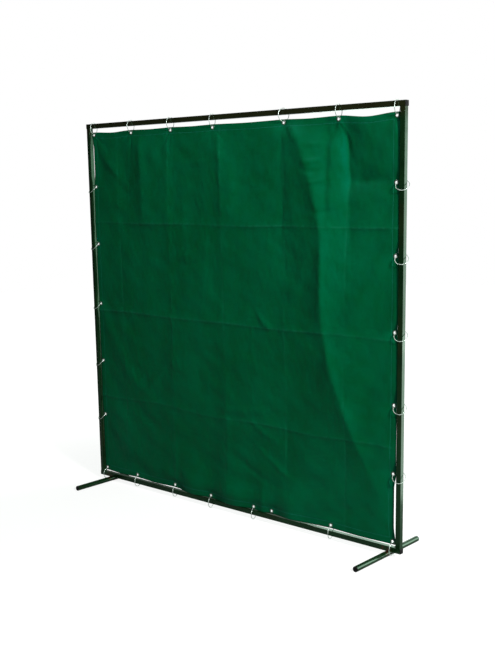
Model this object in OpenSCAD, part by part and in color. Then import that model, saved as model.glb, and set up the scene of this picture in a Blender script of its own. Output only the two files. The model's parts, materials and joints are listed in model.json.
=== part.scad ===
// Free-standing welding curtain screen: a knock-down frame of square steel tube on two
// round tube feet, with a hemmed curtain held by wire rings through eyelets on all four edges.
// Millimetres. +X runs along the screen, -Y is its front, +Z is up.
// The origin is on the floor, midway between the feet and in the plane of the screen.

/* [Frame] */
// Length of the top and bottom rails
frame_w = 2066; // [2050:2:2100]
// Height from the underside of the bottom rail to the top of the top rail
frame_h = 2000; // [1990:5:2050]
// Outer width of the square tube
tube = 25; // [24:0.5:26]
// Wall thickness of the square tube
tube_wall = 1.5; // [1.2:0.1:2]
// Outer corner radius of the square tube
tube_corner = 2; // [1.8:0.1:3]
// Thickness of the head of a plastic end plug
plug_head = 3.5; // [2:0.5:5]

/* [Corner joints] */
// Length of the spigot that joins a post to a rail
spigot_l = 70; // [50:5:100]
// Clearance between a spigot and the inside of its post, on each side
spigot_gap = 0.3; // [0.2:0.1:0.5]
// Radius of the screw that locks a post on its spigot
screw_r = 2.5; // [2:0.25:3]

/* [Feet] */
// Length of a foot tube, without its plugs
foot_l = 500; // [400:10:700]
// Outer diameter of a foot tube
foot_d = 26.9; // [26:0.1:28]
// Wall thickness of a foot tube
foot_wall = 2; // [1.6:0.1:2.2]
// Distance from a rail's end to the middle of the foot
foot_inset = 75; // [72:1:78]
// Radius of the bolt that a foot turns on
bolt_r = 4; // [4:0.5:4]

/* [Curtain] */
// Width of the curtain
curtain_w = 2000; // [1990:2:2004]
// Height of the curtain
curtain_h = 1920; // [1915:1:1924]
// Thickness of the cloth
cloth = 1; // [0.8:0.1:1.2]
// Width of the folded hem
hem_w = 30; // [28:1:40]
// Distance from an eyelet's middle to the curtain's edge
eyelet_inset = 14; // [13:0.5:15]
// Radius of an eyelet's hole
eyelet_r = 6.5; // [6.4:0.1:6.6]
// Outer radius of an eyelet's flange
flange_r = 11.5; // [11:0.5:12.5]

/* [Rings] */
// Radius of a ring, to the middle of its wire
ring_r = 30; // [30:0.5:31]
// Radius of the wire
wire_r = 1.5; // [1.2:0.1:1.6]
// How far a side ring dips away from its eyelet, in degrees
side_tilt = 22; // [10:1:22]
// How far a side ring hangs low at the front, in degrees
side_roll = 42; // [30:1:42]

/* [Hidden] */

FRAME_GREEN = [0.05, 0.14, 0.07];
CURTAIN_GREEN = [0.0, 0.30, 0.17];
PLASTIC = [0.03, 0.03, 0.03];
ZINC = [0.72, 0.74, 0.72];

LEFT = -1;
RIGHT = 1;
FRONT = -1;
BACK = 1;

// heights
touch_gap = 0.3;                                      // left between a foot and what rests on it
washer_t = 1.5;
rail_z = foot_d + touch_gap + washer_t;               // underside of the bottom rail
post_z = rail_z + tube;
post_l = frame_h - 2 * tube;
top_z = rail_z + frame_h - tube;                      // underside of the top rail
post_x = (frame_w - tube) / 2;
inner_w = tube - 2 * tube_wall;                       // inside width of the square tube

// foot fixing
foot_x = frame_w / 2 - foot_inset;
foot_axis_z = foot_d / 2;
foot_bore = foot_d / 2 - foot_wall;
head_r = 7;
head_h = 4.4;
head_seat_z = foot_axis_z + sqrt(foot_bore * foot_bore - head_r * head_r) - touch_gap;
access_r = 8;                                         // hole under the foot that the bolt goes in by
nut_h = 6.5;
nut_r = 7.5;                                          // across the corners, so 13 across the flats
pivot_gap = 0.05;                                     // running clearance of the foot on its bolt

// curtain and rings
ring_drop = 12.2;                                     // ring's middle below the top rail's middle
seat = eyelet_r - wire_r - touch_gap;                 // wire's middle to eyelet's middle
top_ring_z = top_z + tube / 2 - ring_drop;
top_eyelet_z = top_ring_z - ring_r - seat;
curtain_top = top_eyelet_z + eyelet_inset;
curtain_bottom = curtain_top - curtain_h;
bottom_eyelet_z = curtain_bottom + eyelet_inset;      // at the corners
bottom_ring_z = bottom_eyelet_z - seat - ring_r;
side_eyelet_x = curtain_w / 2 - eyelet_inset;
side_seat = 3;                                        // wire lies this far towards the post
hem_t = 2 * cloth;
barrel_wall = 0.6;
barrel_gap = 0.15;                                    // between an eyelet's barrel and the cloth

// Middles of the eyelets along each edge, set by hand at the factory so not quite evenly.
top_xs = [-side_eyelet_x, -685, -385, -90, 365, 680, side_eyelet_x];
bottom_xs = [-side_eyelet_x, -728, -425, -155, 145, 635, side_eyelet_x];
bottom_sag = [0, 0, 0, 8, 8, 0, 0];                   // how far the lower edge hangs down at each
spare_x = 265;                                        // an eyelet in the lower edge with no ring
spare_sag = 6;
side_heights = [1635, 1320, 985, 658, 342];           // above the bottom rail's top face
side_zs = [for (h = side_heights) post_z + h];
// Each ring stands a little askew on its rail, in degrees.
top_skew = [12, 10, 6, 12, -16, 6, 9];
bottom_skew = [-3, 12, 16, 15, 16, 10, 3];

// A square with true round corners
module round_square(w, r) {
    square([w - 2 * r, w], center = true);
    square([w, w - 2 * r], center = true);
    for (x = [-1, 1], y = [-1, 1])
        translate([x * (w / 2 - r), y * (w / 2 - r)]) circle(r, $fn = 24);
}

// A length of square tube, up from the origin
module square_tube(length) {
    linear_extrude(length) difference() {
        round_square(tube, tube_corner);
        round_square(inner_w, tube_corner - tube_wall);
    }
}

// A rail's tube along X, with its underside at height z
module rail_tube(z) {
    translate([-frame_w / 2, 0, z + tube / 2]) rotate([0, 90, 0]) square_tube(frame_w);
}

module top_rail() {
    color(FRAME_GREEN) rail_tube(top_z);
}

module bottom_rail() {
    color(FRAME_GREEN) difference() {
        rail_tube(rail_z);
        for (side = [LEFT, RIGHT])
            translate([side * foot_x, 0, rail_z - 1]) cylinder(h = tube_wall + 2, r = bolt_r + 0.5, $fn = 32);
    }
}

// Where a lock screw goes in, at each end of a post
module at_screws(side) {
    for (z = [post_z + spigot_l / 2, top_z - spigot_l / 2])
        translate([side * post_x, tube / 2, z]) rotate([90, 0, 0]) children();
}

module post(side) {
    color(FRAME_GREEN) difference() {
        translate([side * post_x, 0, post_z]) square_tube(post_l);
        at_screws(side) translate([0, 0, -1]) cylinder(h = tube_wall + 2, r = screw_r + 0.1, $fn = 24);
    }
}

// Short inner tube, fixed to a rail, that a post slides over
module spigot(side, end) {
    outer = inner_w - 2 * spigot_gap;
    z = end > 0 ? top_z - spigot_l : post_z;
    color(ZINC) difference() {
        translate([side * post_x, 0, z]) linear_extrude(spigot_l) difference() {
            round_square(outer, 1);
            round_square(outer - 4, 0.5);
        }
        at_screws(side) cylinder(h = 6, r = screw_r + 0.1, $fn = 24);
    }
}

module post_screws() {
    shank = 8;
    color(ZINC) for (side = [LEFT, RIGHT]) at_screws(side) {
        cylinder(h = shank, r = screw_r, $fn = 24);
        difference() {
            translate([0, 0, -2.8]) cylinder(h = 2.8, r1 = 3.6, r2 = 4.6, $fn = 32);
            translate([0, 0, -3.8]) cylinder(h = 2.4, r = 1.7, $fn = 6);
        }
    }
}

// Square end plug: a flat head outside the rail and a hollow ribbed shank inside it
module rail_plug(side, end) {
    shank = 16;
    shank_w = inner_w - 1;
    z = (end > 0 ? top_z : rail_z) + tube / 2;
    color(PLASTIC) translate([side * frame_w / 2, 0, z]) rotate([0, side * 90, 0]) {
        linear_extrude(plug_head - 1) round_square(tube, tube_corner);
        translate([0, 0, plug_head - 1]) linear_extrude(1) round_square(tube - 1.4, tube_corner);
        translate([0, 0, -shank]) linear_extrude(shank) difference() {
            round_square(shank_w, 0.6);
            round_square(shank_w - 3, 0.6);
        }
        for (rib_z = [-5, -10, -15]) translate([0, 0, rib_z]) linear_extrude(1.2) difference() {
            round_square(inner_w - 0.1, 0.5);
            round_square(shank_w - 0.5, 0.6);
        }
    }
}

// Round tube that stands on the floor and crosses under the rail
module foot(side) {
    color(FRAME_GREEN) difference() {
        translate([side * foot_x, foot_l / 2, foot_axis_z]) rotate([90, 0, 0]) difference() {
            cylinder(h = foot_l, r = foot_d / 2, $fn = 64);
            translate([0, 0, -1]) cylinder(h = foot_l + 2, r = foot_bore, $fn = 64);
        }
        translate([side * foot_x, 0, foot_axis_z]) cylinder(h = foot_d, r = bolt_r + pivot_gap, $fn = 48);
        translate([side * foot_x, 0, -1]) cylinder(h = foot_axis_z, r = access_r, $fn = 48);
    }
}

// Round end plug: a domed head outside the tube and a ribbed shank inside it
module foot_plug(side, end) {
    dome_r = foot_d / 2 - 0.2;
    shank_r = foot_bore - 0.5;
    rib_r = foot_bore - 0.05;
    color(PLASTIC) translate([side * foot_x, end * foot_l / 2, foot_axis_z])
        rotate([end * -90, 0, 0]) rotate_extrude($fn = 64) polygon([
            [0, plug_head], [dome_r - 3, plug_head - 0.3], [dome_r - 1, plug_head - 1], [dome_r, plug_head - 2.2],
            [dome_r, 0], [shank_r, 0], [shank_r, -4], [rib_r, -4], [rib_r, -5], [shank_r, -5.5],
            [shank_r, -9], [rib_r, -9], [rib_r, -10], [shank_r, -10.5],
            [shank_r - 0.5, -16], [shank_r - 2, -16], [shank_r - 2, -1.5], [0, -1.5]
        ]);
}

// Bolt up through a foot's upper wall, with its head inside the tube
module foot_bolts() {
    color(ZINC) for (side = [LEFT, RIGHT]) translate([side * foot_x, 0, head_seat_z]) {
        cylinder(h = 16, r = bolt_r, $fn = 48);
        translate([0, 0, -head_h]) difference() {
            cylinder(h = head_h, r1 = head_r - 2.5, r2 = head_r, $fn = 48);
            translate([0, 0, -1]) cylinder(h = 3.5, r = 2.9, $fn = 6);
        }
    }
}

module foot_nuts() {
    color(ZINC) for (side = [LEFT, RIGHT])
        translate([side * foot_x, 0, rail_z + tube_wall]) difference() {
            cylinder(h = nut_h, r = nut_r, $fn = 6);
            translate([0, 0, -1]) cylinder(h = nut_h + 2, r = bolt_r + pivot_gap, $fn = 48);
        }
}

module foot_washers() {
    color(ZINC) for (side = [LEFT, RIGHT])
        translate([side * foot_x, 0, rail_z - washer_t]) difference() {
            cylinder(h = washer_t, r = 10, $fn = 48);
            translate([0, 0, -1]) cylinder(h = washer_t + 2, r = bolt_r + 0.4, $fn = 48);
        }
}

// Puts an eyelet at each place along the curtain's edges, its front towards -Y
module at_top_eyelets() {
    for (x = top_xs) translate([x, 0, top_eyelet_z]) rotate([90, 0, 0]) children();
}

module at_bottom_eyelets() {
    for (i = [0 : len(bottom_xs) - 1])
        translate([bottom_xs[i], 0, bottom_eyelet_z - bottom_sag[i]]) rotate([90, 0, 0]) children();
    translate([spare_x, 0, bottom_eyelet_z - spare_sag]) rotate([90, 0, 0]) children();
}

module at_side_eyelets(side) {
    for (z = side_zs) translate([side * side_eyelet_x, 0, z]) rotate([90, 0, 0]) children();
}

module at_all_eyelets() {
    at_top_eyelets() children();
    at_bottom_eyelets() children();
    for (side = [LEFT, RIGHT]) at_side_eyelets(side) children();
}

// Outline of the curtain seen from the front; its lower edge sags in the middle
module curtain_outline() {
    half_w = curtain_w / 2;
    low_edge = [for (i = [0 : len(bottom_xs) - 1]) [bottom_xs[i], curtain_bottom - bottom_sag[i]]];
    polygon(concat(
        [[-half_w, curtain_bottom]], low_edge,
        [[half_w, curtain_bottom], [half_w, curtain_top], [-half_w, curtain_top]]
    ));
}

// Flat cloth with a folded hem all round, twice as thick, and a hole for each eyelet
module curtain() {
    color(CURTAIN_GREEN) difference() {
        rotate([90, 0, 0]) linear_extrude(hem_t, center = true) curtain_outline();
        for (face = [FRONT, BACK])
            translate([0, face * hem_t / 2, (curtain_top + curtain_bottom) / 2])
                cube([curtain_w - 2 * hem_w, hem_t - cloth, curtain_h - 2 * hem_w], center = true);
        at_all_eyelets()
            cylinder(h = hem_t + 2, r = eyelet_r + barrel_wall + barrel_gap, center = true, $fn = 32);
    }
}

// Rolled eyelet: a domed flange in front and a barrel through the cloth
module eyelet() {
    face = hem_t / 2;
    rotate_extrude($fn = 40) polygon([
        [eyelet_r, -face - 0.9], [eyelet_r, face + 1], [eyelet_r + 0.7, face + 1.6], [eyelet_r + 2, face + 1.7],
        [flange_r - 1.2, face + 1.2], [flange_r, face + 0.3], [flange_r, face],
        [eyelet_r + barrel_wall, face], [eyelet_r + barrel_wall, -face - 0.9]
    ]);
}

// Flat washer that the barrel is rolled over behind the cloth
module eyelet_washer() {
    translate([0, 0, -hem_t / 2 - 0.9]) difference() {
        cylinder(h = 0.9, r = flange_r - 0.5, $fn = 40);
        translate([0, 0, -1]) cylinder(h = 3, r = eyelet_r + barrel_wall + 0.05, $fn = 40);
    }
}

module eyelets_top() {
    color(ZINC) at_top_eyelets() eyelet();
}

module eyelets_bottom() {
    color(ZINC) at_bottom_eyelets() eyelet();
}

module eyelets_side(side) {
    color(ZINC) at_side_eyelets(side) eyelet();
}

module eyelet_washers() {
    color(ZINC) at_all_eyelets() eyelet_washer();
}

// Split wire ring in the XY plane about the origin, its narrow gap at angle gap_at
module wire_ring(gap_at) {
    gap = 5;
    color(ZINC) rotate([0, 0, gap_at + gap / 2]) rotate_extrude(angle = 360 - gap, $fn = 64)
        translate([ring_r, 0]) circle(wire_r, $fn = 20);
}

// Ring round a rail, its axis along the rail
module rail_ring(x, z, skew, gap_at) {
    translate([x, 0, z]) rotate([0, 0, skew]) rotate([0, 90, 0]) wire_ring(gap_at);
}

module ring_top(i) {
    rail_ring(top_xs[i - 1], top_ring_z, top_skew[i - 1], 100);
}

module ring_bottom(i) {
    rail_ring(bottom_xs[i - 1], bottom_ring_z - bottom_sag[i - 1], bottom_skew[i - 1], 60);
}

// Ring round a post: it hangs from its eyelet, dips towards the post and lies low at the front
module ring_side(side, i) {
    mirror([side < 0 ? 1 : 0, 0, 0])
        translate([side_eyelet_x + side_seat, 0, side_zs[i - 1]]) rotate([0, side_tilt, 0])
            rotate([side_roll, 0, 0]) translate([ring_r, 0, 0]) wire_ring(60);
}

top_rail();
bottom_rail();
post(LEFT);  // left_post
post(RIGHT);  // right_post
spigot(LEFT, 1);  // spigot_top_left
spigot(RIGHT, 1);  // spigot_top_right
spigot(LEFT, -1);  // spigot_bottom_left
spigot(RIGHT, -1);  // spigot_bottom_right
rail_plug(LEFT, 1);  // rail_plug_top_left
rail_plug(RIGHT, 1);  // rail_plug_top_right
rail_plug(LEFT, -1);  // rail_plug_bottom_left
rail_plug(RIGHT, -1);  // rail_plug_bottom_right
post_screws();
foot(LEFT);  // foot_left
foot(RIGHT);  // foot_right
foot_plug(LEFT, FRONT);  // foot_plug_left_front
foot_plug(LEFT, BACK);  // foot_plug_left_back
foot_plug(RIGHT, FRONT);  // foot_plug_right_front
foot_plug(RIGHT, BACK);  // foot_plug_right_back
foot_bolts();
foot_nuts();
foot_washers();
curtain();
eyelets_top();
eyelets_bottom();
eyelets_side(LEFT);  // eyelets_left
eyelets_side(RIGHT);  // eyelets_right
eyelet_washers();
for (i = [1 : 7]) ring_top(i);
for (i = [1 : 7]) ring_bottom(i);
for (i = [1 : 5]) ring_side(LEFT, i);
for (i = [1 : 5]) ring_side(RIGHT, i);
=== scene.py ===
"""The looks of a free-standing welding curtain screen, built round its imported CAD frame.

The tubes, screws, bolts and washers are the CAD's own nodes with painted or zinc materials. The
curtain is cloth that is simulated hanging from its eyelets, then creased and hemmed. The wire
rings, the eyelets and the end plugs are finer pieces in the CAD nodes' places.
"""

import json
import math

import bmesh
import bpy
import numpy as np
from mathutils import Matrix, Vector


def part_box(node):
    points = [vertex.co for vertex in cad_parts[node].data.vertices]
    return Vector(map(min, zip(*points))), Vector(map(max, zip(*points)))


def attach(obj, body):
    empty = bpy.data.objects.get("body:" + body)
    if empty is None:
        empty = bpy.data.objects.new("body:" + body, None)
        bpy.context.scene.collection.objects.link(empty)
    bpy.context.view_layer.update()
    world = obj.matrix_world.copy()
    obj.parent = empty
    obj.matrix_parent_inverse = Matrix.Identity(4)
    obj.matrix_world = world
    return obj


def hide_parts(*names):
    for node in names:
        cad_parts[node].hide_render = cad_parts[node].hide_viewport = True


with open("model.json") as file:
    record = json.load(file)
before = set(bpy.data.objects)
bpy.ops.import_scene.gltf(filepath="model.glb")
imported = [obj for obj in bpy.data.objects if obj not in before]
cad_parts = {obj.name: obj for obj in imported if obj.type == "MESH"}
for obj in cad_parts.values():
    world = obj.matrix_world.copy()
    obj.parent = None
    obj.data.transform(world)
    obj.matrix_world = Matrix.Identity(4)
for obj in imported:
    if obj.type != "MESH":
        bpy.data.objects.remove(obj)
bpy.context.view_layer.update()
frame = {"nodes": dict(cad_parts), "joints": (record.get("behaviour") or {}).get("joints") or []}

MM = 0.001
SIDES = ("left", "right")
scene = bpy.context.scene

# ---------------------------------------------------------------- places, from the frame

rail_low, rail_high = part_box("top_rail")
floor_rail_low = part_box("bottom_rail")[0]
cloth_low, cloth_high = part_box("curtain")
TUBE = rail_high.z - rail_low.z


def clusters(node, gap=10 * MM):
    """The middles, seen from the front, of the separate solids of a node that holds a row of them."""
    low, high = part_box(node)
    along = 0 if high.x - low.x > high.z - low.z else 2
    points = np.array([v.co for v in frame["nodes"][node].data.vertices], float)
    points = points[np.argsort(points[:, along])]
    groups = np.split(points, np.where(np.diff(points[:, along]) > gap)[0] + 1)
    middles = [(g.min(0) + g.max(0)) / 2 for g in groups]
    return [(float(m[0]), float(m[2])) for m in middles]


EYELETS = {side: clusters("eyelets_" + side) for side in ("top", "bottom", "left", "right")}
ALL_EYELETS = [place for row in EYELETS.values() for place in row]
RING_R = 30 * MM            # to the middle of the wire
WIRE_R = 1.5 * MM
FOOT_TUBE = 26.6 * MM       # a foot plug's head, just under the tube's outer diameter

# ---------------------------------------------------------------- small mesh helpers


def add_mesh(name, points, faces, material, smooth=True):
    """A new mesh object of one material, from points in metres and faces."""
    mesh = bpy.data.meshes.new(name)
    mesh.from_pydata([tuple(p) for p in points], [], [tuple(f) for f in faces])
    mesh.polygons.foreach_set("use_smooth", [smooth] * len(mesh.polygons))
    mesh.materials.append(material)
    mesh.update()
    piece = bpy.data.objects.new(name, mesh)
    scene.collection.objects.link(piece)
    return piece


def recalculate_normals(piece):
    """Turns all of a closed piece's faces outward."""
    shape = bmesh.new()
    shape.from_mesh(piece.data)
    bmesh.ops.recalc_face_normals(shape, faces=shape.faces)
    shape.to_mesh(piece.data)
    shape.free()
    return piece


def grid_faces(rows, columns, wrap_rows=False, wrap_columns=False):
    """Quads over points laid out row by row."""
    faces = []
    for r in range(rows if wrap_rows else rows - 1):
        for c in range(columns if wrap_columns else columns - 1):
            a, b = r * columns + c, r * columns + (c + 1) % columns
            d, e = (r + 1) % rows * columns + c, (r + 1) % rows * columns + (c + 1) % columns
            faces.append((a, b, e, d))
    return faces


def loft(outlines):
    """Points and faces of a skin over closed outlines of equal length, with both ends capped."""
    count = len(outlines[0])
    points = [p for outline in outlines for p in outline]
    faces = grid_faces(len(outlines), count, wrap_columns=True)
    for first, order in ((0, -1), ((len(outlines) - 1) * count, 1)):
        middle = len(points)
        points.append(np.mean(points[first:first + count], axis=0))
        faces += [tuple((first + i, first + (i + 1) % count, middle)[::order]) for i in range(count)]
    return points, faces


# ---------------------------------------------------------------- materials


class Nodes:
    """A short way to add and join shader nodes in one new material."""

    def __init__(self, name):
        self.material = bpy.data.materials.new(name)
        self.material.use_nodes = True
        self.tree = self.material.node_tree
        self.shader = self.tree.nodes["Principled BSDF"]
        self.place = self.add("ShaderNodeTexCoord").outputs["Object"]

    def feed(self, socket, value):
        """Links a socket to another node's output, or sets it to a plain value."""
        if isinstance(value, bpy.types.NodeSocket):
            self.tree.links.new(value, socket)
        else:
            socket.default_value = value

    def add(self, kind, inputs=None, **settings):
        node = self.tree.nodes.new(kind)
        for name, value in settings.items():
            setattr(node, name, value)
        for name, value in (inputs or {}).items():
            self.feed(node.inputs[name], value)
        return node

    def set(self, **values):
        """Sets the shader's sockets; a name's underscores stand for spaces."""
        for name, value in values.items():
            self.feed(self.shader.inputs[name.replace("_", " ")], value)

    def noise(self, scale, detail=3.0, roughness=0.5, stretch=None):
        """Cloudy noise, from 0 to 1, with a scale in hills to the metre."""
        vector = self.place
        if stretch:
            vector = self.add("ShaderNodeMapping", {"Vector": vector, "Scale": stretch}).outputs[0]
        inputs = {"Vector": vector, "Scale": scale, "Detail": detail, "Roughness": roughness}
        return self.add("ShaderNodeTexNoise", inputs).outputs["Fac"]

    def ramp(self, value, low, high, to_low=0.0, to_high=1.0):
        """Eases from to_low to to_high as the value goes from low to high."""
        inputs = {"Value": value, "From Min": low, "From Max": high, "To Min": to_low, "To Max": to_high}
        return self.add("ShaderNodeMapRange", inputs, interpolation_type="SMOOTHSTEP").outputs["Result"]

    def math(self, operation, first, second=0.0):
        node = self.add("ShaderNodeMath", operation=operation)
        for socket, value in zip(node.inputs, (first, second)):
            self.feed(socket, value)
        return node.outputs[0]

    def mix(self, share, first, second):
        """The first colour where share is 0, the second where it is 1."""
        node = self.add("ShaderNodeMix", data_type="RGBA")
        for index, value in ((0, share), (6, first), (7, second)):
            self.feed(node.inputs[index], value)
        return node.outputs[2]

    def bump(self, height, strength, distance, normal=None):
        inputs = {"Height": height, "Strength": strength, "Distance": distance}
        if normal:
            inputs["Normal"] = normal
        return self.add("ShaderNodeBump", inputs).outputs["Normal"]

    def attribute(self, name):
        """A number that the mesh holds at each of its points."""
        return self.add("ShaderNodeAttribute", attribute_name=name).outputs["Fac"]


def painted_steel():
    """Dark green gloss enamel on steel tube: slight orange peel, brown patches, worn arrises, chips."""
    m = Nodes("green_enamel")
    patches = m.ramp(m.noise(9, 4), 0.35, 0.7)
    colour = m.mix(patches, (0.002, 0.012, 0.003, 1), (0.004, 0.020, 0.005, 1))
    # thin patches let a brown undercoat show, and the top rail is browner all along
    thin = m.ramp(m.noise(14, 5, 0.6, stretch=(0.4, 1, 0.4)), 0.52, 0.66)
    height = m.add("ShaderNodeSeparateXYZ", {0: m.place}).outputs["Z"]
    shares = (m.math("MULTIPLY", thin, 0.3), m.ramp(height, rail_low.z - 0.06, rail_low.z, 0, 0.65))
    colour = m.mix(m.math("MAXIMUM", *shares), colour, (0.014, 0.008, 0.003, 1))
    # the arrises are rubbed, where a bevelled normal turns away from the face's own
    edge = m.add("ShaderNodeBevel", {"Radius": 1.6 * MM}, samples=4).outputs["Normal"]
    face = m.add("ShaderNodeNewGeometry").outputs["Normal"]
    turned = m.add("ShaderNodeVectorMath", {0: edge, 1: face}, operation="DOT_PRODUCT").outputs["Value"]
    worn = m.math("MULTIPLY", m.ramp(turned, 0.985, 0.90), m.ramp(m.noise(60, 5), 0.50, 0.62))
    colour = m.mix(m.math("MULTIPLY", worn, 0.45), colour, (0.045, 0.085, 0.05, 1))
    chips = m.ramp(m.noise(130, 3, stretch=(0.35, 1, 0.35)), 0.745, 0.78)
    colour = m.mix(m.math("MULTIPLY", chips, 0.7), colour, (0.07, 0.035, 0.02, 1))
    # the paint is rubbed down to its primer where the feet are bolted on
    low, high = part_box("foot_right")
    mirrored = m.add("ShaderNodeVectorMath", {0: m.place}, operation="ABSOLUTE").outputs["Vector"]
    clamp_place = {0: mirrored, 1: ((low.x + high.x) / 2, 0, floor_rail_low.z)}
    away = m.add("ShaderNodeVectorMath", clamp_place, operation="DISTANCE").outputs["Value"]
    rubbed = m.math("MULTIPLY", m.ramp(away, 0.040, 0.022), m.ramp(m.noise(70, 4), 0.42, 0.56))
    colour = m.mix(m.math("MULTIPLY", rubbed, 0.8), colour, (0.045, 0.010, 0.007, 1))
    m.set(Base_Color=colour, Roughness=m.ramp(m.noise(25, 4), 0.3, 0.75, 0.12, 0.22))
    m.set(IOR=1.5, Specular_IOR_Level=0.55, Specular_Tint=(0.45, 1.0, 0.62, 1))
    peel = m.bump(m.noise(420, 2), 0.06, 0.15 * MM)
    m.set(Normal=m.bump(m.noise(28, 2), 0.10, 0.6 * MM, peel))
    return m.material


def zinc(name, colour, roughness):
    """Zinc-plated steel: a mottled, slightly brushed grey."""
    m = Nodes(name)
    mottle = m.ramp(m.noise(160, 4), 0.35, 0.65)
    dark = tuple(0.72 * c for c in colour) + (1,)
    tint = m.mix(mottle, dark, tuple(colour) + (1,))
    # small dull spots in the plating
    spots = m.ramp(m.noise(700, 3), 0.66, 0.74)
    tint = m.mix(m.math("MULTIPLY", spots, 0.35), tint, (0.34, 0.33, 0.29, 1))
    m.set(Base_Color=tint, Metallic=0.7)
    m.set(Roughness=m.ramp(m.noise(240, 3), 0.3, 0.7, roughness - 0.08, roughness + 0.08))
    m.set(Normal=m.bump(m.noise(900, 2), 0.15, 0.1 * MM))
    return m.material


def moulded_plastic():
    """Black polyethylene: fine grain and scuffed, paler spots."""
    m = Nodes("black_plastic")
    scuffs = m.ramp(m.noise(75, 5), 0.56, 0.74)
    m.set(Base_Color=m.mix(scuffs, (0.005, 0.005, 0.005, 1), (0.02, 0.02, 0.018, 1)))
    m.set(Roughness=m.ramp(scuffs, 0, 1, 0.45, 0.65), Specular_IOR_Level=0.15)
    m.set(Normal=m.bump(m.noise(1300, 2), 0.3, 0.12 * MM))
    return m.material


def curtain_cloth():
    """Coated green cloth: a fine weave under a dull coat, paler where it was folded."""
    m = Nodes("green_curtain")
    weave = []
    for axis in ("X", "Z"):
        inputs = {"Vector": m.place, "Scale": 260.0, "Distortion": 0.6, "Detail": 1.0, "Detail Scale": 3.0}
        weave.append(m.add("ShaderNodeTexWave", inputs, bands_direction=axis).outputs["Fac"])
    threads = m.math("MULTIPLY", *weave)
    broad = m.ramp(m.noise(3.2, 5, 0.55, stretch=(1, 1, 0.6)), 0.32, 0.70)
    cloudy = m.ramp(m.noise(16, 5, 0.6), 0.30, 0.72)
    colour = m.mix(broad, (0.000, 0.078, 0.015, 1), (0.000, 0.094, 0.025, 1))
    colour = m.mix(m.math("MULTIPLY", cloudy, 0.25), colour, (0.000, 0.112, 0.040, 1))
    worn = m.math("MULTIPLY", m.attribute("crease"), m.ramp(m.noise(45, 4), 0.35, 0.65, 0.25, 1.0))
    colour = m.mix(m.math("MULTIPLY", worn, 0.35), colour, (0.015, 0.170, 0.090, 1))
    # the hem's seam is a groove with painted shade along it (a darker green), and a row of paler stitches in
    # it
    seam = m.attribute("seam")
    colour = m.mix(m.math("MULTIPLY", seam, 0.45), colour, (0.000, 0.045, 0.018, 1))
    dashes = m.add("ShaderNodeTexWave", {"Vector": m.place, "Scale": 125.0}, bands_direction="DIAGONAL")
    stitches = m.math("MULTIPLY", m.ramp(seam, 0.55, 0.80), m.ramp(dashes.outputs["Fac"], 0.30, 0.50))
    colour = m.mix(m.math("MULTIPLY", stitches, 0.8), colour, (0.010, 0.170, 0.085, 1))
    m.set(Base_Color=colour, Specular_IOR_Level=0.60, Specular_Tint=(0.0, 0.38, 0.90, 1), IOR=1.4)
    m.set(Sheen_Weight=0.01, Sheen_Roughness=0.5, Sheen_Tint=(0.01, 0.70, 0.60, 1))
    m.set(Roughness=m.ramp(cloudy, 0, 1, 0.56, 0.68))
    fine = m.bump(threads, 0.35, 0.25 * MM)
    crumple = m.bump(m.noise(55, 4, 0.55), 0.18, 1.2 * MM, fine)
    groove = m.math("SUBTRACT", m.math("MULTIPLY", stitches, 1.4), seam)
    m.set(Normal=m.bump(groove, 0.6, 0.7 * MM, crumple))
    return m.material


ENAMEL = painted_steel()
BRIGHT_WIRE = zinc("ring_zinc", (0.66, 0.78, 0.70), 0.36)
EYELET_METAL = zinc("eyelet_nickel", (0.17, 0.25, 0.20), 0.30)
ZINC_STEEL = zinc("zinc_steel", (0.60, 0.61, 0.58), 0.38)
PLASTIC = moulded_plastic()
CLOTH = curtain_cloth()


PAINTED = ("top_rail", "bottom_rail", "left_post", "right_post", "foot_left", "foot_right")
PLATED = ("spigot", "post_screws", "foot_bolts", "foot_nuts", "foot_washers")      # names start so


def dress(node, material):
    """Gives a CAD node its material."""
    slots = frame["nodes"][node].data.materials
    for i in range(len(slots)):
        slots[i] = material


for node_name in PAINTED:
    dress(node_name, ENAMEL)
for node_name in frame["nodes"]:
    if node_name.startswith(PLATED):
        dress(node_name, ZINC_STEEL)

# ---------------------------------------------------------------- curtain

INSET = cloth_high.z - EYELETS["top"][0][1]        # from an eyelet's middle to the cloth's edge
CORNER_Z = EYELETS["bottom"][0][1] - INSET         # the lower edge at the corners
CLOTH_W = cloth_high.x - cloth_low.x
CLOTH_H = cloth_high.z - CORNER_Z
SLACK_W = 1.006             # the cut is this much wider than the frame holds it
SLACK_H = 1.003             # and this much higher
CUT = (CLOTH_W * SLACK_W, CLOTH_H * SLACK_H)
THICK = 0.8 * MM
HEM = 30 * MM
UPRIGHT_CREASES = (-0.80, -0.415, -0.04, 0.36, 0.72)
LEVEL_CREASES = (CORNER_Z + 0.45, CORNER_Z + 0.94, CORNER_Z + 1.43)
LEVEL_STRENGTHS = (0.75, 0.95, 1.0)
LEVEL_SWAYS = (6 * MM, 3 * MM, 2 * MM)
PIN_R = 14 * MM             # the simulation holds the cloth this far round an eyelet's middle


def lowered(x, height):
    """The height of a point of the flat cloth once its lower edge follows the bottom eyelets."""
    xs = [cloth_low.x] + [place[0] for place in EYELETS["bottom"]] + [cloth_high.x]
    lows = [place[1] - INSET for place in EYELETS["bottom"]]
    low = np.interp(x, xs, [lows[0]] + lows + [lows[-1]])
    return cloth_high.z - (cloth_high.z - height) * (cloth_high.z - low) / CLOTH_H


def away_from_eyelets(x, z, reach):
    """0 at an eyelet's middle, rising to 1 some way off."""
    share = np.ones_like(x)
    for eye_x, eye_z in ALL_EYELETS:
        share *= 1 - np.exp(-((x - eye_x) ** 2 + (z - eye_z) ** 2) / reach ** 2)
    return share


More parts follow.
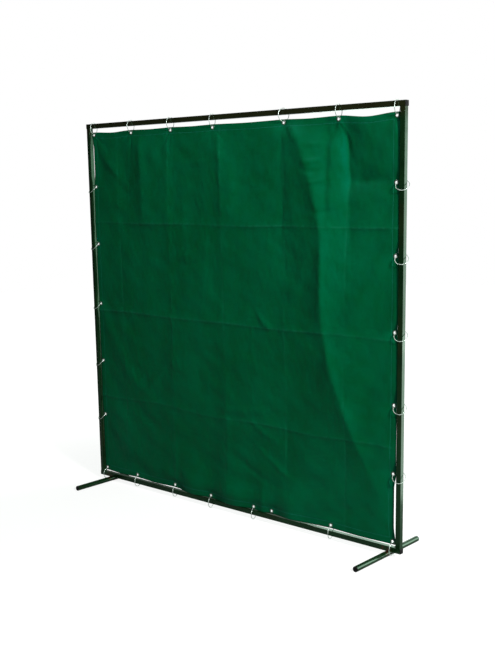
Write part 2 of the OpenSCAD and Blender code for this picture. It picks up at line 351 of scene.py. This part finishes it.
def hold_edges(x, z, reach=0.12):
    """0 along the curtain's four edges, 1 well inside it."""
    inside = np.minimum.reduce([x - cloth_low.x, cloth_high.x - x, z - CORNER_Z, cloth_high.z - z])
    return 1 - np.exp(-(np.maximum(inside, 0) / reach) ** 1.5)


def smooth_noise(x, z, size, seed):
    """Soft random hills about 1 high, some size across, the same each run."""
    random = np.random.default_rng(seed)
    total = np.zeros_like(x)
    for _ in range(14):
        angle, phase = random.uniform(0, math.tau, 2)
        pitch = size * random.uniform(0.7, 1.6)
        total += np.cos(math.tau * (x * math.cos(angle) + z * math.sin(angle)) / pitch + phase)
    return np.tanh(total / 3.0)


def ramp(value, low, high):
    """0 below low and 1 above high, smoothly between."""
    share = np.clip((value - low) / (high - low), 0, 1)
    return share * share * (3 - 2 * share)


def ridge(off, left, right, blunt=0.010):
    """A fold's height: 1 on its crest and falling off over these widths to its left and right."""
    away = np.sqrt(off ** 2 + blunt ** 2) - blunt
    return np.exp(-away / np.where(off < 0, left, right))


def blob(x, z, at, width, height):
    """A soft hill 1 high at its middle, falling off over this width and height."""
    return np.exp(-((x - at[0]) / width) ** 2 - ((z - at[1]) / height) ** 2)


def long_fold(x, z):
    """The one deep fold, from between the fifth and sixth rings down to the lower right corner."""
    # its crest is upright at mid height, and bends to the right below and to the left above
    crest = 0.597 + 0.40 * np.clip((1.10 - z) / 0.95, 0, 1.2) ** 1.6
    crest -= 0.17 * np.clip((z - 1.40) / 0.55, 0, 1.2) ** 1.7
    off = x - crest
    strength = ramp(z, 0.10, 0.75) * (0.78 + 0.20 * ramp(z, 0.9, 1.3) - 0.18 * ramp(z, 1.45, 1.80))
    high_up = ramp(z, 1.4, 1.9)
    depth = 25 * MM * ridge(off, 0.095 + 0.04 * high_up, 0.055 + 0.07 * high_up) * strength
    # its right side leans back gently to the post
    depth += 8 * MM * ramp(-off, -0.45, 0.02) * (1 - ramp(-off, 0.0, 0.30)) * strength
    return depth


def upright_folds(x, z):
    """Low folds below the rings and along the upright packing creases."""
    depth = np.zeros_like(x)
    # where each stands, its height in mm, its widths to the left and right, its share near the top
    for line, height, left, right, top_share in (
            (-0.805, 4.0, 0.05, 0.03, 0.9), (-0.415, 6.0, 0.040, 0.060, 1.2),
            (-0.040, 4.0, 0.050, 0.040, 2.6), (0.362, -7.0, 0.045, 0.045, 1.5)):
        lean = line - 0.012 * (z - 1.2) + 0.006 * np.sin(5 * z + 9 * line)
        share = 0.55 + 0.45 * smooth_noise(x * 0.1, z, 0.8, int(1000 + line * 100))
        share *= 1 + (top_share - 1) * ramp(z, 1.3, 1.8)
        depth += height * MM * ridge(x - lean, left, right) * share
    # a fold hangs below the second ring, and slanting ones join it from the corner
    depth += 11 * MM * ridge(x + 0.615, 0.055, 0.06) * ramp(z, 1.35, 1.75)
    depth -= 9 * MM * blob(x, z, (-0.74, 1.70), 0.07, 0.13)
    slant = (x + 0.86) * 0.66 + (z - 1.80) * 0.75
    depth += 7 * MM * ridge(slant, 0.03, 0.05) * blob(x, z, (-0.84, 1.79), 0.16, 0.16)
    slant = (x + 0.78) * 0.5 - (z - 1.62) * 0.86
    depth += 6 * MM * ridge(slant, 0.035, 0.035) * blob(x, z, (-0.80, 1.62), 0.15, 0.12)
    depth += 6 * MM * blob(x, z, (-0.50, 1.84), 0.05, 0.10)
    depth += 6 * MM * blob(x, z, (0.02, 1.66), 0.045, 0.16)
    return depth


def slack_corner(x, z):
    """The loose cloth below the last top span falls back in a pocket that a level crease closes."""
    # the pocket is narrow on its left, and on its right it rises slowly to the post
    off = x - 0.706 - 0.08 * (1.95 - z)
    rise = np.clip(off / 0.23, 0, 1)
    pocket = np.where(off < 0, ridge(off, 0.075, 0.075), 1 - np.sin(math.pi / 2 * rise))
    depth = -33 * MM * pocket * (0.5 * ramp(z, 1.15, 1.65) + 0.5 * ramp(z, 1.60, 1.71))
    depth -= 6 * MM * ridge(x - 0.612, 0.060, 0.018, 0.006) * ramp(z, 1.45, 1.62)
    low_crease = z - 1.700 - 0.05 * (x - 0.85)
    return depth - 12 * MM * ridge(low_crease, 0.025, 0.070) * ramp(x, 0.70, 0.80)


def small_crumples(x, z):
    """Short level wrinkles on the deep fold, and slanting ones above the lower creases."""
    depth = np.zeros_like(x)
    # each wrinkle's middle, half length, half height, slope and, in mm, how far it stands out
    for x0, z0, length, height, tilt, size in (
            (0.545, 1.790, 0.05, 0.012, 0.15, 3.0), (0.530, 1.745, 0.05, 0.011, -0.10, -2.6),
            (0.575, 1.700, 0.05, 0.012, 0.25, 2.6), (0.550, 1.865, 0.04, 0.010, 0.10, 2.0),
            (0.600, 1.560, 0.06, 0.014, 0.05, -2.2), (0.235, 1.020, 0.05, 0.022, -0.7, 2.4),
            (0.290, 0.990, 0.06, 0.018, 0.3, -1.8), (0.100, 0.560, 0.14, 0.022, 0.1, 2.0),
            (0.220, 0.470, 0.10, 0.018, -0.5, 1.5), (0.300, 0.310, 0.12, 0.016, -0.6, 1.6),
            (0.180, 0.240, 0.12, 0.018, -0.4, -1.6), (-0.200, 1.800, 0.08, 0.014, 0.1, 1.3),
            (-0.300, 1.330, 0.09, 0.016, 0.2, 1.4), (-0.250, 1.290, 0.09, 0.014, 0.15, -1.2),
            (-0.560, 0.640, 0.09, 0.030, 0.9, 1.8), (0.420, 1.180, 0.05, 0.045, 0.4, 1.8)):
        bend = 0.6 * height / length ** 2
        across = (z - z0) - tilt * (x - x0) - bend * (x - x0) ** 2
        depth += size * MM * np.exp(-(across / height) ** 2 - ((x - x0) / length) ** 2)
    return depth


def folds(x, z):
    """How far the hanging cloth stands towards the front, in metres."""
    depth = long_fold(x, z) + upright_folds(x, z) + slack_corner(x, z)
    depth += 2.2 * MM * smooth_noise(x, z, 0.34, 3) + 1.0 * MM * smooth_noise(x, z, 0.13, 21)
    depth *= hold_edges(x, z, 0.05)
    depth += (1.8 * small_crumples(x, z) + 0.3 * MM * smooth_noise(x, z, 0.05, 22)) * hold_edges(x, z, 0.03)
    return depth * away_from_eyelets(x, z, 0.042)


def simulated(columns, rows, frames):
    """Lets a flat cut of cloth hang from its eyelets, and returns its points, row by row."""
    across, up = np.meshgrid(np.linspace(0, 1, columns), np.linspace(0, 1, rows))
    x = cloth_low.x + across * CLOTH_W
    z = lowered(x, CORNER_Z + up * CLOTH_H)
    held = np.zeros(x.shape, bool)
    for eye_x, eye_z in ALL_EYELETS:
        held |= np.hypot(x - eye_x, z - eye_z) < PIN_R
    seed = 3 * MM * smooth_noise(x, z, 0.5, 5) * hold_edges(x, z)
    start = np.stack([x, np.where(held, 0, -0.3 * folds(x, z) - seed), z], -1)
    piece = add_mesh("cloth_start", start.reshape(-1, 3), grid_faces(rows, columns), CLOTH)
    piece.shape_key_add(name="hung")
    cut = piece.shape_key_add(name="cut")
    cut.value = 0
    flat = np.stack([(across - 0.5) * CUT[0], 0 * x, CORNER_Z + up * CUT[1]], -1)
    cut.data.foreach_set("co", flat.astype(np.float32).ravel())
    pins = piece.vertex_groups.new(name="pins")
    pins.add([int(i) for i in np.where(held.ravel())[0]], 1, "REPLACE")
    cloth = piece.modifiers.new("Cloth", "CLOTH")
    cloth.collision_settings.use_collision = False
    cloth.point_cache.frame_start, cloth.point_cache.frame_end = 1, frames
    settings = cloth.settings
    settings.quality = 5
    settings.mass = 0.02
    settings.air_damping = 3
    settings.tension_stiffness = settings.compression_stiffness = 60
    settings.shear_stiffness = 30
    settings.bending_stiffness = 1.5
    settings.vertex_group_mass = "pins"
    settings.rest_shape_key = cut
    for number in range(1, frames + 1):
        scene.frame_set(number)
    result = piece.evaluated_get(bpy.context.evaluated_depsgraph_get()).to_mesh()
    hung = np.zeros(len(result.vertices) * 3, np.float32)
    result.vertices.foreach_get("co", hung)
    bpy.data.objects.remove(piece)
    scene.frame_set(1)
    return hung.reshape(rows, columns, 3).astype(float)


def spaced(length, step, fine, lines, reach):
    """Places from 0 to length, step apart and finer near some lines; each line has a place on it."""
    count = round(reach / fine)
    near = [line + k * fine for line in lines for k in range(-count, count + 1)]
    wanted = [(0, 0), (length, 0)] + [(p, 0) for p in lines]
    wanted += [(p, 1) for p in near] + [(p, 2) for p in np.arange(0, length, step)]
    kept = []
    for place, _ in sorted(wanted, key=lambda item: item[1]):
        if 0 <= place <= length and all(abs(place - other) > 0.55 * fine for other in kept):
            kept.append(place)
    return np.array(sorted(kept))


def resampled(points, rows_at, columns_at):
    """The grid of points read at other rows and columns by Catmull-Rom curves."""

    def along_first(values, at):
        last = len(values) - 1
        i = np.clip(np.floor(at).astype(int), 0, last - 1)
        t = (at - i)[:, None, None]
        a, b, c, d = (values[np.clip(i + k, 0, last)] for k in (-1, 0, 1, 2))
        return b + t / 2 * (c - a + t * (2 * a - 5 * b + 4 * c - d + t * (3 * (b - c) + d - a)))

    half = along_first(points, rows_at)
    return along_first(half.transpose(1, 0, 2), columns_at).transpose(1, 0, 2)


def crease_height(x, z):
    """The sharp fold lines left from packing, and how strong each is, from 0 to 1."""
    height, mark = np.zeros_like(x), np.zeros_like(x)
    for number, line in enumerate(UPRIGHT_CREASES):
        strength = 0.55 + 0.45 * smooth_noise(x * 0.2, z, 0.5, 40 + number)
        off = np.abs(x - line - 0.004 * np.sin(7 * z + number))
        height += (1 if number % 2 else -1) * 1.0 * MM * strength * np.exp(-off / 0.010)
        mark = np.maximum(mark, 0.6 * strength * np.exp(-(off / 0.004) ** 2))
    for number, line in enumerate(LEVEL_CREASES):
        strength = LEVEL_STRENGTHS[number] * (0.75 + 0.25 * smooth_noise(x, z * 0.2, 0.6, 50 + number))
        off = z - line - LEVEL_SWAYS[number] * np.sin(9 * x + 2 * number)
        height += 4.5 * MM * strength * ridge(off, 0.010, 0.022, 0.002) * ramp(cloth_high.x - x, 0, 0.06)
        mark = np.maximum(mark, strength * np.exp(-((off - 0.001) / 0.004) ** 2))
    return height, mark


def fans(x, z):
    """Short folds that spread from each top eyelet where it takes the cloth's weight."""
    random = np.random.default_rng(11)
    height = np.zeros_like(x)
    for eye_x, eye_z in EYELETS["top"]:
        away = np.hypot(x - eye_x, z - eye_z)
        angle = np.arctan2(x - eye_x, eye_z - z)
        for _ in range(4):
            towards, width = random.uniform(-1.1, 1.1), random.uniform(0.10, 0.2)
            reach, size = random.uniform(0.10, 0.30), random.choice([-1, 1]) * random.uniform(1.5, 3.2)
            bell = (away / 0.05) / (1 + (away / 0.05) ** 2) * 2 * np.exp(-(away / reach) ** 2)
            height += size * MM * bell * np.exp(-((angle - towards) / width) ** 2)
    return height


def scallops(at, stops, depths, flat=0.5):
    """A row of smooth hollows, one between each two stops, of these depths in millimetres."""
    total = np.zeros_like(at)
    for low, high, depth in zip(stops, stops[1:], depths):
        reach = flat * (high - low)
        total += depth * MM * ramp(at, low, low + reach) * (1 - ramp(at, high - reach, high))
    return total


def edge_waves(x, z):
    """How far the four edges are drawn in or sag between their eyelets, as (x, y, z) shifts."""
    tops = [place[0] for place in EYELETS["top"]]
    bottoms = [place[0] for place in EYELETS["bottom"]]
    rows = [EYELETS["bottom"][0][1], *[place[1] for place in EYELETS["right"]], EYELETS["top"][0][1]]
    # between its rings the right edge also stands a little forward, out of the post's shadow
    from_right = cloth_high.x - x
    right = scallops(z, rows, (9, -5, -5.5, -6, -6, -5), 0.22) * np.exp(-from_right / 0.06)
    forward = scallops(z, rows, (0, 7, 7, 6, 7, 7), 0.22) * np.exp(-from_right / 0.12)
    left = scallops(z, rows, (-3, -4, -3, -4, -3, 8), 0.3) * np.exp(-(x - cloth_low.x) / 0.06)
    shift_z = -scallops(x, tops, (6, 2, 2, 2.5, 3, 11)) * np.exp(-(cloth_high.z - z) / 0.12)
    up = z - lowered(x, CORNER_Z)
    shift_z -= scallops(x, bottoms, (4.5, 5, 6, 5, 3, 4, 3)) * np.exp(-up / 0.10)
    # the lowest stretches lie against the front of the bottom rail
    bow = np.minimum.reduce([ramp(np.abs(x - stop), 0.004, 0.135) for stop in bottoms[2:6]])
    bow *= ramp(x, bottoms[2], bottoms[2] + 0.08) * (1 - ramp(x, 0.36, 0.50))
    return left - right, -14.4 * MM * bow * np.exp(-(up / 0.17) ** 2) - forward, shift_z


def cut_holes(piece, flat_x, flat_z):
    """Opens a round hole under each eyelet, with its rim hidden below the flange."""
    rim = 9 * MM
    shape = bmesh.new()
    shape.from_mesh(piece.data)
    shape.verts.ensure_lookup_table()
    for eye_x, eye_z in ALL_EYELETS:
        away = np.hypot(flat_x - eye_x, flat_z - eye_z)
        inner = {int(i) for i in np.where(away < 0.85 * rim)[0]}
        doomed = {f for i in inner for f in shape.verts[i].link_faces}
        border = {v for f in doomed for v in f.verts if v.index not in inner}
        bmesh.ops.delete(shape, geom=list(doomed), context="FACES_ONLY")
        for v in border:
            towards = Vector((v.co.x - eye_x, 0, v.co.z - eye_z)).normalized()
            v.co = Vector((eye_x, v.co.y, eye_z)) + rim * towards
    loose = [v for v in shape.verts if not v.link_faces]
    bmesh.ops.delete(shape, geom=loose, context="VERTS")
    shape.to_mesh(piece.data)
    shape.free()


def make_curtain():
    """The one sheet of cloth: hung by simulation, then folded, creased, holed and hemmed."""
    rows, columns, frames = 150, 156, 34
    hung = simulated(columns, rows, frames)
    eye_xs = [x - cloth_low.x for x, _ in ALL_EYELETS]
    eye_zs = [INSET, CLOTH_H - INSET] + [z - CORNER_Z for _, z in EYELETS["left"]]
    seams_x, seams_z = [HEM, CLOTH_W - HEM], [HEM, CLOTH_H - HEM]
    creases_x = [x - cloth_low.x for x in UPRIGHT_CREASES]
    creases_z = [z - CORNER_Z for z in LEVEL_CREASES]
    step, fine, reach = 9 * MM, 4 * MM, 12 * MM
    xs = spaced(CLOTH_W, step, fine, creases_x + seams_x + eye_xs, reach)
    zs = spaced(CLOTH_H, step, fine, creases_z + seams_z + eye_zs, reach)
    points = resampled(hung, zs / CLOTH_H * (rows - 1), xs / CLOTH_W * (columns - 1))
    x, height = np.meshgrid(cloth_low.x + xs, CORNER_Z + zs)
    z = lowered(x, height)
    free = away_from_eyelets(x, z, 0.020)
    creases, marks = crease_height(x, height)
    points[:, :, 1] -= folds(x, z) + (creases + fans(x, z)) * free
    points += np.stack(edge_waves(x, z), -1) * free[..., None]
    # right at an eyelet the cloth lies flat under the flange
    near = np.exp(-(np.maximum(1 - free, 1e-3) / 0.5) ** -4)[..., None]
    points = points * (1 - near) + np.stack([x, 0 * x, z], -1) * near
    piece = add_mesh("curtain_cloth", points.reshape(-1, 3), grid_faces(len(zs), len(xs)), CLOTH)
    edge = np.minimum.reduce([x - cloth_low.x, cloth_high.x - x, height - CORNER_Z, cloth_high.z - height])
    # the band along the hem's seam: the cloth's material darkens it as painted shade in the groove, and
    # places the stitches in it
    seam = np.exp(-((edge - HEM) / (2.2 * MM)) ** 2)
    for name, values in (("crease", marks), ("seam", seam)):
        layer = piece.data.attributes.new(name, "FLOAT", "POINT")
        layer.data.foreach_set("value", values.astype(np.float32).ravel())
    hem = piece.vertex_groups.new(name="hem")
    hem.add([int(i) for i in np.where(edge.ravel() <= HEM + MM)[0]], 1, "REPLACE")
    cut_holes(piece, x.ravel(), z.ravel())
    solid = piece.modifiers.new("thickness", "SOLIDIFY")
    solid.thickness, solid.offset = 2 * THICK, -1
    solid.vertex_group, solid.thickness_vertex_group = "hem", 0.5
    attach(piece, "frame")
    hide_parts("curtain")
    return piece


curtain = make_curtain()

# ---------------------------------------------------------------- eyelets

EYELET_PROFILE = (          # radius, and height over the cloth's front face, in mm
    (6.5, -2.0), (6.5, 0.9), (6.7, 1.35), (7.2, 1.7), (8.0, 1.85), (9.0, 1.75), (10.2, 1.35),
    (11.2, 0.75), (11.5, 0.3), (11.35, 0.0), (10.9, -0.1), (7.3, -0.1), (7.1, -0.4), (7.1, -1.6),
    (9.8, -1.62), (10.9, -1.7), (11.1, -1.95), (10.6, -2.2), (8.2, -2.5), (7.2, -2.45), (6.7, -2.3),
)


def make_eyelets(side, nodes):
    """One row of eyelets, each a rolled flange in front, a barrel, and a washer behind."""
    around = 40
    points, faces = [], []
    for eye_x, eye_z in EYELETS[side]:
        first = len(points)
        for radius, height in EYELET_PROFILE:
            for k in range(around):
                angle = math.tau * k / around
                r = radius * MM
                points.append((eye_x + r * math.cos(angle), -height * MM, eye_z + r * math.sin(angle)))
        rings = grid_faces(len(EYELET_PROFILE), around, wrap_rows=True, wrap_columns=True)
        faces += [tuple(first + i for i in face) for face in rings]
    piece = recalculate_normals(add_mesh("eyelet_row_" + side, points, faces, EYELET_METAL))
    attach(piece, "frame")
    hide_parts(*nodes)
    return piece


eyelet_rows = [make_eyelets("top", ["eyelets_top", "eyelet_washers"])]
eyelet_rows += [make_eyelets(side, ["eyelets_" + side]) for side in ("bottom", "left", "right")]

# ---------------------------------------------------------------- wire rings


def make_ring(joint):
    """A bent wire ring whose two ends meet, turning about its joint's axis."""
    name = joint["child"]
    middle, axis = Vector(joint["pos_m"]), Vector(joint["axis"]).normalized()
    eye = min(ALL_EYELETS, key=lambda e: (Vector((e[0], 0, e[1])) - middle).length)
    out = Vector((eye[0], 0, eye[1])) - middle
    out = (out - axis * out.dot(axis)).normalized()
    side = axis.cross(out)
    around, along = 12, 96
    gap, opposite = math.radians(2.4), math.radians(150)        # the cut, and how far it is from the eyelet
    outlines = []
    for k in range(along + 1):
        share = k / along
        angle = opposite + gap / 2 + share * (math.tau - gap)
        spoke = out * math.cos(angle) + side * math.sin(angle)
        blunt = min(1.0, 0.72 + 28 * min(share, 1 - share))     # the cut ends are slightly rounded
        centre = middle + spoke * RING_R * (1 + 0.006 * math.sin(2 * angle + middle.x * 9))
        wire = [centre + WIRE_R * blunt * (spoke * math.cos(a) + axis * math.sin(a))
                for a in (math.tau * i / around for i in range(around))]
        outlines.append([tuple(p) for p in wire])
    points, faces = loft(outlines)
    piece = recalculate_normals(add_mesh("wire_" + name, points, faces, BRIGHT_WIRE))
    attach(piece, name)
    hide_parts(name)
    return piece


rings = [make_ring(joint) for joint in frame["joints"] if joint["child"].startswith("ring_")]

# ---------------------------------------------------------------- end plugs


def round_square(size, corner, count=8):
    """Points round a square with round corners, in its own plane."""
    inner = size / 2 - corner
    outline = []
    for quarter, (a, b) in enumerate(((1, 1), (-1, 1), (-1, -1), (1, -1))):
        for k in range(count):
            turn = (quarter + k / (count - 1)) * math.pi / 2
            outline.append((a * inner + corner * math.cos(turn), b * inner + corner * math.sin(turn)))
    return outline


def round_outline(size, _corner, count=48):
    """Points round a circle. It takes a corner only so that it can stand in for round_square."""
    angles = [math.tau * k / count for k in range(count)]
    return [(size / 2 * math.cos(a), size / 2 * math.sin(a)) for a in angles]


def make_plug(node, outline, size, body):
    """An end plug, its sizes in mm: a crowned head outside the tube, and a ribbed shank inside it."""
    low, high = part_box(node)
    centre = (low + high) / 2
    along = 0 if high.x - low.x < high.y - low.y else 1
    outward = math.copysign(1, centre[along])
    tip = (high if outward > 0 else low)[along]
    head, bore, shank = 3.5, size - 4.0, size - 5.4
    # the crowned head's height over the tube's end, and its share of the full width there
    profile = [(head, 0.70), (head - 0.12, 0.82), (head - 0.5, 0.92), (head - 1.1, 0.972),
               (head - 1.9, 0.995), (0.35, 0.998), (0.1, 0.985), (0.0, 0.97)]
    sections = [(height, size * share) for height, share in profile]
    sections.append((0.0, shank))
    # the shank has three ribs and a slight lead-in at its end
    for rib in (4, 8.5, 13):
        sections += [(-rib, shank), (-rib, bore), (-rib - 0.8, bore), (-rib - 1.2, shank)]
    sections += [(-15.5, shank), (-16, shank - 1)]
    outlines = []
    for height, width in sections:
        place = tip + outward * (height - head) * MM
        flat = outline(width * MM, min(2.2, width * 0.1) * MM)
        if along == 0:
            outlines.append([(place, centre.y + a, centre.z + b) for a, b in flat])
        else:
            outlines.append([(centre.x + a, place, centre.z + b) for a, b in flat])
    points, faces = loft(outlines)
    piece = recalculate_normals(add_mesh("moulded_" + node, points, faces, PLASTIC))
    mark_sharp(piece)
    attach(piece, body)
    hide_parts(node)
    return piece


def mark_sharp(piece, limit=math.radians(38)):
    """Keeps the corners of a smooth-shaded piece crisp."""
    shape = bmesh.new()
    shape.from_mesh(piece.data)
    for edge in shape.edges:
        edge.smooth = len(edge.link_faces) == 2 and edge.calc_face_angle(0) < limit
    shape.to_mesh(piece.data)
    shape.free()


for height_name in ("top", "bottom"):
    for side_name in SIDES:
        make_plug(f"rail_plug_{height_name}_{side_name}", round_square, TUBE / MM, "frame")
for side_name in SIDES:
    for end_name in ("front", "back"):
        make_plug(f"foot_plug_{side_name}_{end_name}", round_outline, FOOT_TUBE / MM, "foot_" + side_name)

# ---------------------------------------------------------------- floor, light and camera


def make_floor():
    """A pale floor that fades into the white surround away from the screen."""
    m = Nodes("pale_floor")
    away = m.add("ShaderNodeVectorMath", {0: m.place}, operation="LENGTH").outputs["Value"]
    seen = m.add("ShaderNodeLightPath").outputs["Is Camera Ray"]
    m.set(Base_Color=(0.26, 0.27, 0.26, 1), Roughness=0.9, Specular_IOR_Level=0.1)
    m.set(Emission_Color=(1, 1, 1, 1))
    m.set(Emission_Strength=m.math("MULTIPLY", seen, m.ramp(away, 1.2, 3.2, 0.80, 1.0)))
    radius, sides, below = 12, 64, 0.5 * MM
    angles = np.linspace(0, math.tau, sides + 1)[:-1]
    points = [(radius * math.cos(a), radius * math.sin(a), -below) for a in angles]
    floor = add_mesh("studio_floor", points, [tuple(range(sides))], m.material, smooth=False)


LIGHTS = (                  # name, place, what it shines at, width, power, colour
    ("key", (5.0, -1.9, 3.3), (0.0, 0, 1.1), 0.9, 425, (1, 1, 1)),
    ("overhead", (0.2, -0.9, 3.5), (0, 0, 1.3), 1.2, 15, (1, 1, 1)),
    ("side_glow", (3.6, 3.9, 1.2), (1.0, 0, 1.0), 2.2, 32, (1, 1, 1)),
    ("post_glow", (1.52, 0.76, 0.45), (1.03, 0, 0.5), 0.9, 5.5, (1, 1, 1)),
    ("rail_glow", (-2.1, 4.7, 2.0), (1.0, 0, 0), 1.8, 15, (0.80, 1.0, 0.88)),
    ("back_fill", (0.4, 3.4, 4.2), (0, 0, 1.0), 2.2, 90, (1, 1, 1)),
)


def make_light(name, place, target, size, power, colour):
    """A soft round light that the camera doesn't see."""
    data = bpy.data.lights.new(name, "AREA")
    data.shape, data.size, data.energy, data.color = "DISK", size, power, colour
    lamp = bpy.data.objects.new(name, data)
    scene.collection.objects.link(lamp)
    lamp.location = place
    lamp.visible_camera = False
    lamp.rotation_euler = (Vector(target) - Vector(place)).to_track_quat("-Z", "Y").to_euler()


def make_world():
    """A white backdrop behind and above the screen, and a dim room in front of it."""
    behind = (0.52, 0.92, 0.05, 0.66)       # from and to in the view's direction, then in strength
    above = (0.55, 0.95, 0.0, 0.45)
    world = bpy.data.worlds.new("studio")
    world.use_nodes = True
    tree = world.node_tree
    way = tree.nodes.new("ShaderNodeTexCoord")
    parts = tree.nodes.new("ShaderNodeSeparateXYZ")
    shares = []
    for low, high, dim, full in (behind, above):
        share = tree.nodes.new("ShaderNodeMapRange")
        for name, value in (("From Min", low), ("From Max", high), ("To Min", dim), ("To Max", full)):
            share.inputs[name].default_value = value
        shares.append(share)
    bright = tree.nodes.new("ShaderNodeMath")
    bright.operation = "MAXIMUM"
    room = tree.nodes["Background"]
    room.inputs["Color"].default_value = (0.86, 1.0, 0.92, 1)
    seen = tree.nodes.new("ShaderNodeBackground")
    seen.inputs["Color"].default_value = (1, 1, 1, 1)
    path = tree.nodes.new("ShaderNodeLightPath")
    choose = tree.nodes.new("ShaderNodeMixShader")
    for source, target in (
            (way.outputs["Generated"], parts.inputs[0]), (parts.outputs["Y"], shares[0].inputs["Value"]),
            (parts.outputs["Z"], shares[1].inputs["Value"]), (shares[0].outputs["Result"], bright.inputs[0]),
            (shares[1].outputs["Result"], bright.inputs[1]), (bright.outputs[0], room.inputs["Strength"]),
            (path.outputs["Is Camera Ray"], choose.inputs[0]),
            (room.outputs[0], choose.inputs[1]), (seen.outputs[0], choose.inputs[2]),
            (choose.outputs[0], tree.nodes["World Output"].inputs["Surface"])):
        tree.links.new(source, target)
    scene.world = world


def make_camera():
    """A standing viewer's place in front and to the right, looking a little down."""
    data = bpy.data.cameras.new("camera")
    data.sensor_width = 36
    data.lens = 54.5
    data.shift_y = 0.051
    camera = bpy.data.objects.new("camera", data)
    scene.collection.objects.link(camera)
    yaw, pitch, roll = math.radians(41.602), math.radians(10.247), math.radians(-0.884)
    ahead = Vector((-math.sin(yaw) * math.cos(pitch), math.cos(yaw) * math.cos(pitch), -math.sin(pitch)))
    turn = ahead.to_track_quat("-Z", "Y").to_matrix() @ Matrix.Rotation(roll, 3, "Z")
    eye_level = 1.6623 + floor_rail_low.z
    camera.location = (3.4007, -3.6972, eye_level)
    camera.rotation_euler = turn.to_euler()
    scene.camera = camera


make_floor()
for light in LIGHTS:
    make_light(*light)
make_world()
make_camera()
scene.view_settings.view_transform = "Standard"
